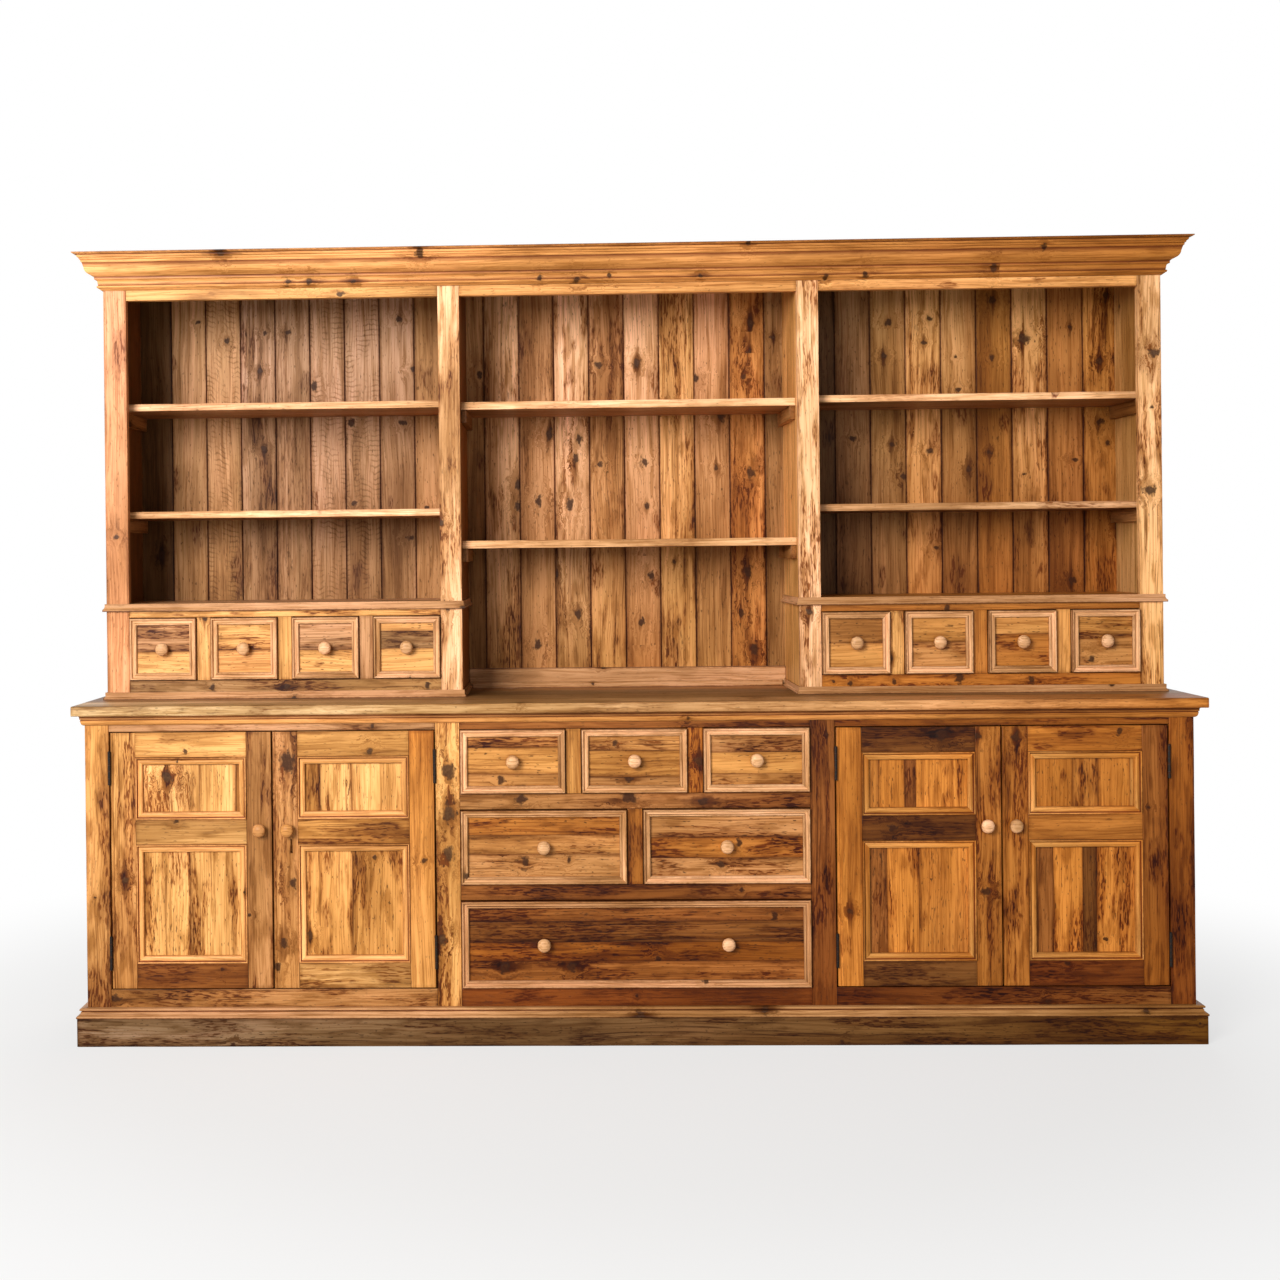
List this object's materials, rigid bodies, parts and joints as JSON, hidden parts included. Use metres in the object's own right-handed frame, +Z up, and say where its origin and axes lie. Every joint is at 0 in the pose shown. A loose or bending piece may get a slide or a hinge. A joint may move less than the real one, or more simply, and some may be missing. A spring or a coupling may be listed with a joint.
{
  "type": "hutch",
  "caption": "Wide pine hutch: cupboard base with panelled doors and a block of drawers, under an open shelf rack with small drawers and a moulded cornice.",
  "frame": {"origin": "on the floor, midway across the overall width and depth", "axes": "+X to the right, +Y from the front to the wall, +Z up"},
  "size_m": [3.064, 0.56, 2.156],
  "materials": {
    "pine": "waxed",
    "moulding_pine": "waxed",
    "back_pine": "dull wax",
    "plinth_pine": "rough sawn",
    "knob_pine": "waxed",
    "hinge_iron": "dark"
  },
  "bodies": {
    "carcass": {"plinth": "plinth_pine", "base_face_frame": "pine", "base_uprights": "pine", "base_floors_and_shelves": "pine", "base_back_boards": "back_pine", "drawer_runners": "pine", "worktop": "pine", "worktop_moulding": "moulding_pine", "upper_face_frame": "pine", "upper_uprights": "pine", "upper_shelves": "pine", "upper_back_boards": "back_pine", "cleats_and_stops": "pine", "cornice": "moulding_pine", "upper_mouldings": "moulding_pine", "hinge_frame_leaves": "hinge_iron"},
    "door_1": {"door_1_frame": "pine", "door_1_panels": "pine", "door_1_hinge_leaves": "hinge_iron", "door_1_knob": "knob_pine"},
    "door_2": {"door_2_frame": "pine", "door_2_panels": "pine", "door_2_hinge_leaves": "hinge_iron", "door_2_knob": "knob_pine"},
    "door_3": {"door_3_frame": "pine", "door_3_panels": "pine", "door_3_hinge_leaves": "hinge_iron", "door_3_knob": "knob_pine"},
    "door_4": {"door_4_frame": "pine", "door_4_panels": "pine", "door_4_hinge_leaves": "hinge_iron", "door_4_knob": "knob_pine"},
    "top_drawer_1": {"top_drawer_1_front": "pine", "top_drawer_1_box": "pine"},
    "top_drawer_2": {"top_drawer_2_front": "pine", "top_drawer_2_box": "pine"},
    "top_drawer_3": {"top_drawer_3_front": "pine", "top_drawer_3_box": "pine"},
    "middle_drawer_1": {"middle_drawer_1_front": "pine", "middle_drawer_1_box": "pine"},
    "middle_drawer_2": {"middle_drawer_2_front": "pine", "middle_drawer_2_box": "pine"},
    "bottom_drawer_1": {"bottom_drawer_1_front": "pine", "bottom_drawer_1_box": "pine"},
    "small_drawer_left_1": {"small_drawer_left_1_front": "pine", "small_drawer_left_1_box": "pine"},
    "small_drawer_left_2": {"small_drawer_left_2_front": "pine", "small_drawer_left_2_box": "pine"},
    "small_drawer_left_3": {"small_drawer_left_3_front": "pine", "small_drawer_left_3_box": "pine"},
    "small_drawer_left_4": {"small_drawer_left_4_front": "pine", "small_drawer_left_4_box": "pine"},
    "small_drawer_right_1": {"small_drawer_right_1_front": "pine", "small_drawer_right_1_box": "pine"},
    "small_drawer_right_2": {"small_drawer_right_2_front": "pine", "small_drawer_right_2_box": "pine"},
    "small_drawer_right_3": {"small_drawer_right_3_front": "pine", "small_drawer_right_3_box": "pine"},
    "small_drawer_right_4": {"small_drawer_right_4_front": "pine", "small_drawer_right_4_box": "pine"}
  },
  "joints": [
    {"name": "door_1_swing", "type": "hinge", "parent": "carcass", "child": "door_1", "pos_m": [-1.41, -0.2464, 0.2015], "axis": [0, 0, -1], "range_deg": [0, 110]},
    {"name": "door_2_swing", "type": "hinge", "parent": "carcass", "child": "door_2", "pos_m": [-0.534, -0.2464, 0.2015], "axis": [0, 0, 1], "range_deg": [0, 90]},
    {"name": "door_3_swing", "type": "hinge", "parent": "carcass", "child": "door_3", "pos_m": [0.534, -0.2464, 0.2015], "axis": [0, 0, -1], "range_deg": [0, 90]},
    {"name": "door_4_swing", "type": "hinge", "parent": "carcass", "child": "door_4", "pos_m": [1.41, -0.2464, 0.2015], "axis": [0, 0, 1], "range_deg": [0, 110]},
    {"name": "top_drawer_1_slide", "type": "slide", "parent": "carcass", "child": "top_drawer_1", "axis": [0, -1, 0], "range_m": [0, 0.34]},
    {"name": "top_drawer_2_slide", "type": "slide", "parent": "carcass", "child": "top_drawer_2", "axis": [0, -1, 0], "range_m": [0, 0.34]},
    {"name": "top_drawer_3_slide", "type": "slide", "parent": "carcass", "child": "top_drawer_3", "axis": [0, -1, 0], "range_m": [0, 0.34]},
    {"name": "middle_drawer_1_slide", "type": "slide", "parent": "carcass", "child": "middle_drawer_1", "axis": [0, -1, 0], "range_m": [0, 0.34]},
    {"name": "middle_drawer_2_slide", "type": "slide", "parent": "carcass", "child": "middle_drawer_2", "axis": [0, -1, 0], "range_m": [0, 0.34]},
    {"name": "bottom_drawer_1_slide", "type": "slide", "parent": "carcass", "child": "bottom_drawer_1", "axis": [0, -1, 0], "range_m": [0, 0.34]},
    {"name": "small_drawer_left_1_slide", "type": "slide", "parent": "carcass", "child": "small_drawer_left_1", "axis": [0, -1, 0], "range_m": [0, 0.21]},
    {"name": "small_drawer_left_2_slide", "type": "slide", "parent": "carcass", "child": "small_drawer_left_2", "axis": [0, -1, 0], "range_m": [0, 0.21]},
    {"name": "small_drawer_left_3_slide", "type": "slide", "parent": "carcass", "child": "small_drawer_left_3", "axis": [0, -1, 0], "range_m": [0, 0.21]},
    {"name": "small_drawer_left_4_slide", "type": "slide", "parent": "carcass", "child": "small_drawer_left_4", "axis": [0, -1, 0], "range_m": [0, 0.21]},
    {"name": "small_drawer_right_1_slide", "type": "slide", "parent": "carcass", "child": "small_drawer_right_1", "axis": [0, -1, 0], "range_m": [0, 0.21]},
    {"name": "small_drawer_right_2_slide", "type": "slide", "parent": "carcass", "child": "small_drawer_right_2", "axis": [0, -1, 0], "range_m": [0, 0.21]},
    {"name": "small_drawer_right_3_slide", "type": "slide", "parent": "carcass", "child": "small_drawer_right_3", "axis": [0, -1, 0], "range_m": [0, 0.21]},
    {"name": "small_drawer_right_4_slide", "type": "slide", "parent": "carcass", "child": "small_drawer_right_4", "axis": [0, -1, 0], "range_m": [0, 0.21]}
  ]
}
